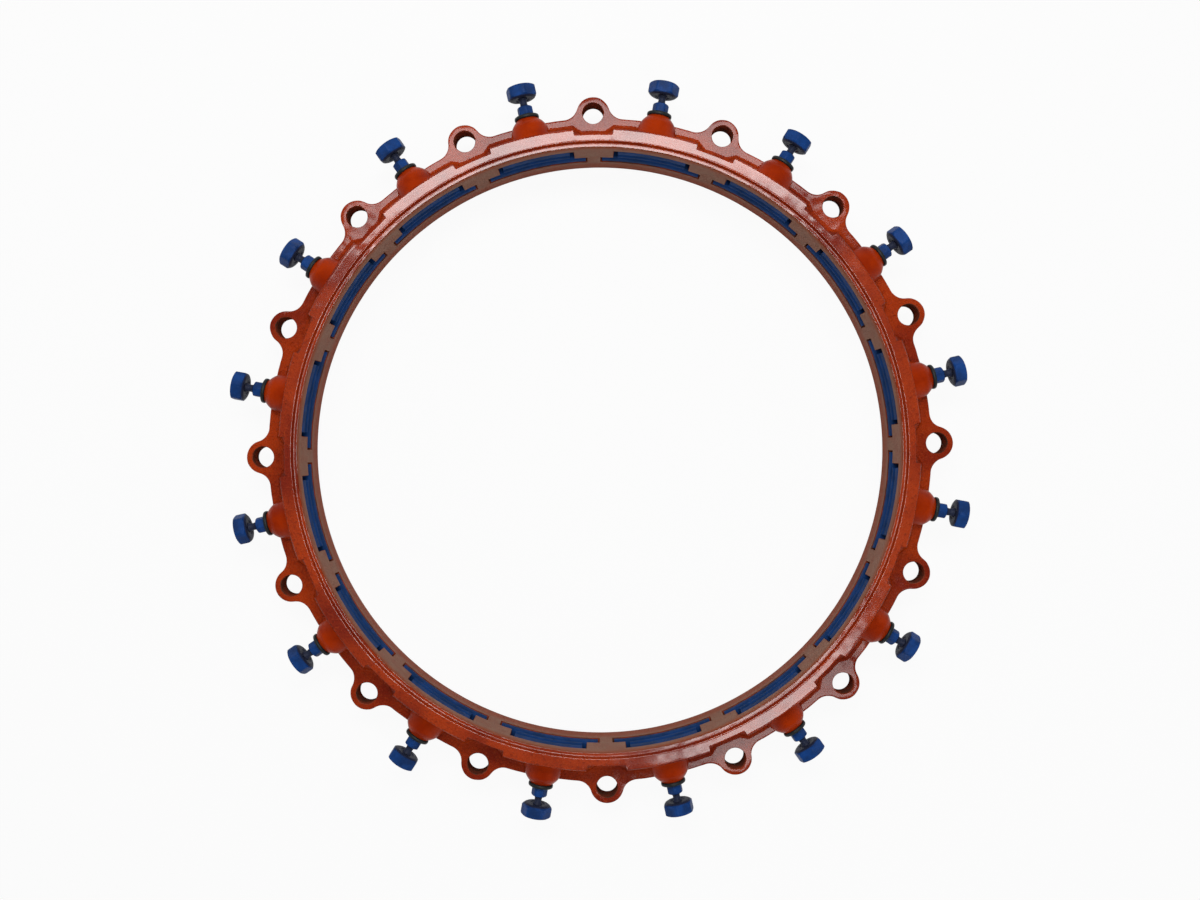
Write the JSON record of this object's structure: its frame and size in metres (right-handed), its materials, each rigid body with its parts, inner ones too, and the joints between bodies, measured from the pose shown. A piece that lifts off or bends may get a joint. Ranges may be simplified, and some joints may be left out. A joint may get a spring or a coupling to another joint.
{
  "type": "pipe joint restraint",
  "caption": "Cast restraint ring for a bolted pipe joint, with bolt ears between wedge housings, toothed wedges in its bore and radial screws with break-off heads.",
  "frame": {"origin": "on the ring's axis, in the plane of the lip's end face that enters the bell", "axes": "+Z along the ring's axis, away from the bell, to the side where the wedge housings stand; one bolt ear on +Y; wedge stations numbered clockwise from +Y seen from +Z"},
  "size_m": [0.8289, 0.829, 0.095],
  "materials": {
    "ring_paint": "glossy red-orange paint over rough cast ductile iron",
    "wedge_coating": "satin dark blue coating on cast and heat-treated iron",
    "screw_coating": "semi-gloss blue coating on steel",
    "seal_rubber": "black moulded rubber"
  },
  "bodies": {
    "gland": {"gland_ring": "ring_paint", "seal_rings": "seal_rubber"},
    "wedge_01": {"wedge_01": "wedge_coating"},
    "screw_01": {"screw_01": "screw_coating"},
    "wedge_02": {"wedge_02": "wedge_coating"},
    "screw_02": {"screw_02": "screw_coating"},
    "wedge_03": {"wedge_03": "wedge_coating"},
    "screw_03": {"screw_03": "screw_coating"},
    "wedge_04": {"wedge_04": "wedge_coating"},
    "screw_04": {"screw_04": "screw_coating"},
    "wedge_05": {"wedge_05": "wedge_coating"},
    "screw_05": {"screw_05": "screw_coating"},
    "wedge_06": {"wedge_06": "wedge_coating"},
    "screw_06": {"screw_06": "screw_coating"},
    "wedge_07": {"wedge_07": "wedge_coating"},
    "screw_07": {"screw_07": "screw_coating"},
    "wedge_08": {"wedge_08": "wedge_coating"},
    "screw_08": {"screw_08": "screw_coating"},
    "wedge_09": {"wedge_09": "wedge_coating"},
    "screw_09": {"screw_09": "screw_coating"},
    "wedge_10": {"wedge_10": "wedge_coating"},
    "screw_10": {"screw_10": "screw_coating"},
    "wedge_11": {"wedge_11": "wedge_coating"},
    "screw_11": {"screw_11": "screw_coating"},
    "wedge_12": {"wedge_12": "wedge_coating"},
    "screw_12": {"screw_12": "screw_coating"},
    "wedge_13": {"wedge_13": "wedge_coating"},
    "screw_13": {"screw_13": "screw_coating"},
    "wedge_14": {"wedge_14": "wedge_coating"},
    "screw_14": {"screw_14": "screw_coating"},
    "wedge_15": {"wedge_15": "wedge_coating"},
    "screw_15": {"screw_15": "screw_coating"},
    "wedge_16": {"wedge_16": "wedge_coating"},
    "screw_16": {"screw_16": "screw_coating"}
  },
  "joints": [
    {"name": "screw_01_turn", "type": "hinge", "parent": "wedge_01", "child": "screw_01", "pos_m": [0.07433, 0.37368, 0.052], "axis": [-0.1951, -0.9808, 0], "range_deg": [0, 1080.5]},
    {"name": "wedge_01_slide", "type": "slide", "parent": "gland", "child": "wedge_01", "axis": [-0.1951, -0.9808, 0], "range_m": [0, 0.00762]},
    {"name": "screw_02_turn", "type": "hinge", "parent": "wedge_02", "child": "screw_02", "pos_m": [0.21167, 0.31679, 0.052], "axis": [-0.5556, -0.8315, 0], "range_deg": [0, 1080.5]},
    {"name": "wedge_02_slide", "type": "slide", "parent": "gland", "child": "wedge_02", "axis": [-0.5556, -0.8315, 0], "range_m": [0, 0.00762]},
    {"name": "screw_03_turn", "type": "hinge", "parent": "wedge_03", "child": "screw_03", "pos_m": [0.31679, 0.21167, 0.052], "axis": [-0.8315, -0.5556, 0], "range_deg": [0, 1080.5]},
    {"name": "wedge_03_slide", "type": "slide", "parent": "gland", "child": "wedge_03", "axis": [-0.8315, -0.5556, 0], "range_m": [0, 0.00762]},
    {"name": "screw_04_turn", "type": "hinge", "parent": "wedge_04", "child": "screw_04", "pos_m": [0.37368, 0.07433, 0.052], "axis": [-0.9808, -0.1951, 0], "range_deg": [0, 1080.5]},
    {"name": "wedge_04_slide", "type": "slide", "parent": "gland", "child": "wedge_04", "axis": [-0.9808, -0.1951, 0], "range_m": [0, 0.00762]},
    {"name": "screw_05_turn", "type": "hinge", "parent": "wedge_05", "child": "screw_05", "pos_m": [0.37368, -0.07433, 0.052], "axis": [-0.9808, 0.1951, 0], "range_deg": [0, 1080.5]},
    {"name": "wedge_05_slide", "type": "slide", "parent": "gland", "child": "wedge_05", "axis": [-0.9808, 0.1951, 0], "range_m": [0, 0.00762]},
    {"name": "screw_06_turn", "type": "hinge", "parent": "wedge_06", "child": "screw_06", "pos_m": [0.31679, -0.21167, 0.052], "axis": [-0.8315, 0.5556, 0], "range_deg": [0, 1080.5]},
    {"name": "wedge_06_slide", "type": "slide", "parent": "gland", "child": "wedge_06", "axis": [-0.8315, 0.5556, 0], "range_m": [0, 0.00762]},
    {"name": "screw_07_turn", "type": "hinge", "parent": "wedge_07", "child": "screw_07", "pos_m": [0.21167, -0.31679, 0.052], "axis": [-0.5556, 0.8315, 0], "range_deg": [0, 1080.5]},
    {"name": "wedge_07_slide", "type": "slide", "parent": "gland", "child": "wedge_07", "axis": [-0.5556, 0.8315, 0], "range_m": [0, 0.00762]},
    {"name": "screw_08_turn", "type": "hinge", "parent": "wedge_08", "child": "screw_08", "pos_m": [0.07433, -0.37368, 0.052], "axis": [-0.1951, 0.9808, 0], "range_deg": [0, 1080.5]},
    {"name": "wedge_08_slide", "type": "slide", "parent": "gland", "child": "wedge_08", "axis": [-0.1951, 0.9808, 0], "range_m": [0, 0.00762]},
    {"name": "screw_09_turn", "type": "hinge", "parent": "wedge_09", "child": "screw_09", "pos_m": [-0.07433, -0.37368, 0.052], "axis": [0.1951, 0.9808, 0], "range_deg": [0, 1080.5]},
    {"name": "wedge_09_slide", "type": "slide", "parent": "gland", "child": "wedge_09", "axis": [0.1951, 0.9808, 0], "range_m": [0, 0.00762]},
    {"name": "screw_10_turn", "type": "hinge", "parent": "wedge_10", "child": "screw_10", "pos_m": [-0.21167, -0.31679, 0.052], "axis": [0.5556, 0.8315, 0], "range_deg": [0, 1080.5]},
    {"name": "wedge_10_slide", "type": "slide", "parent": "gland", "child": "wedge_10", "axis": [0.5556, 0.8315, 0], "range_m": [0, 0.00762]},
    {"name": "screw_11_turn", "type": "hinge", "parent": "wedge_11", "child": "screw_11", "pos_m": [-0.31679, -0.21167, 0.052], "axis": [0.8315, 0.5556, 0], "range_deg": [0, 1080.5]},
    {"name": "wedge_11_slide", "type": "slide", "parent": "gland", "child": "wedge_11", "axis": [0.8315, 0.5556, 0], "range_m": [0, 0.00762]},
    {"name": "screw_12_turn", "type": "hinge", "parent": "wedge_12", "child": "screw_12", "pos_m": [-0.37368, -0.07433, 0.052], "axis": [0.9808, 0.1951, 0], "range_deg": [0, 1080.5]},
    {"name": "wedge_12_slide", "type": "slide", "parent": "gland", "child": "wedge_12", "axis": [0.9808, 0.1951, 0], "range_m": [0, 0.00762]},
    {"name": "screw_13_turn", "type": "hinge", "parent": "wedge_13", "child": "screw_13", "pos_m": [-0.37368, 0.07433, 0.052], "axis": [0.9808, -0.1951, 0], "range_deg": [0, 1080.5]},
    {"name": "wedge_13_slide", "type": "slide", "parent": "gland", "child": "wedge_13", "axis": [0.9808, -0.1951, 0], "range_m": [0, 0.00762]},
    {"name": "screw_14_turn", "type": "hinge", "parent": "wedge_14", "child": "screw_14", "pos_m": [-0.31679, 0.21167, 0.052], "axis": [0.8315, -0.5556, 0], "range_deg": [0, 1080.5]},
    {"name": "wedge_14_slide", "type": "slide", "parent": "gland", "child": "wedge_14", "axis": [0.8315, -0.5556, 0], "range_m": [0, 0.00762]},
    {"name": "screw_15_turn", "type": "hinge", "parent": "wedge_15", "child": "screw_15", "pos_m": [-0.21167, 0.31679, 0.052], "axis": [0.5556, -0.8315, 0], "range_deg": [0, 1080.5]},
    {"name": "wedge_15_slide", "type": "slide", "parent": "gland", "child": "wedge_15", "axis": [0.5556, -0.8315, 0], "range_m": [0, 0.00762]},
    {"name": "screw_16_turn", "type": "hinge", "parent": "wedge_16", "child": "screw_16", "pos_m": [-0.07433, 0.37368, 0.052], "axis": [0.1951, -0.9808, 0], "range_deg": [0, 1080.5]},
    {"name": "wedge_16_slide", "type": "slide", "parent": "gland", "child": "wedge_16", "axis": [0.1951, -0.9808, 0], "range_m": [0, 0.00762]}
  ],
  "couplings": [
    {"joint": "screw_01_turn", "follows": "wedge_01_slide", "rad_per_m": 2473.7},
    {"joint": "screw_02_turn", "follows": "wedge_02_slide", "rad_per_m": 2473.7},
    {"joint": "screw_03_turn", "follows": "wedge_03_slide", "rad_per_m": 2473.7},
    {"joint": "screw_04_turn", "follows": "wedge_04_slide", "rad_per_m": 2473.7},
    {"joint": "screw_05_turn", "follows": "wedge_05_slide", "rad_per_m": 2473.7},
    {"joint": "screw_06_turn", "follows": "wedge_06_slide", "rad_per_m": 2473.7},
    {"joint": "screw_07_turn", "follows": "wedge_07_slide", "rad_per_m": 2473.7},
    {"joint": "screw_08_turn", "follows": "wedge_08_slide", "rad_per_m": 2473.7},
    {"joint": "screw_09_turn", "follows": "wedge_09_slide", "rad_per_m": 2473.7},
    {"joint": "screw_10_turn", "follows": "wedge_10_slide", "rad_per_m": 2473.7},
    {"joint": "screw_11_turn", "follows": "wedge_11_slide", "rad_per_m": 2473.7},
    {"joint": "screw_12_turn", "follows": "wedge_12_slide", "rad_per_m": 2473.7},
    {"joint": "screw_13_turn", "follows": "wedge_13_slide", "rad_per_m": 2473.7},
    {"joint": "screw_14_turn", "follows": "wedge_14_slide", "rad_per_m": 2473.7},
    {"joint": "screw_15_turn", "follows": "wedge_15_slide", "rad_per_m": 2473.7},
    {"joint": "screw_16_turn", "follows": "wedge_16_slide", "rad_per_m": 2473.7}
  ]
}
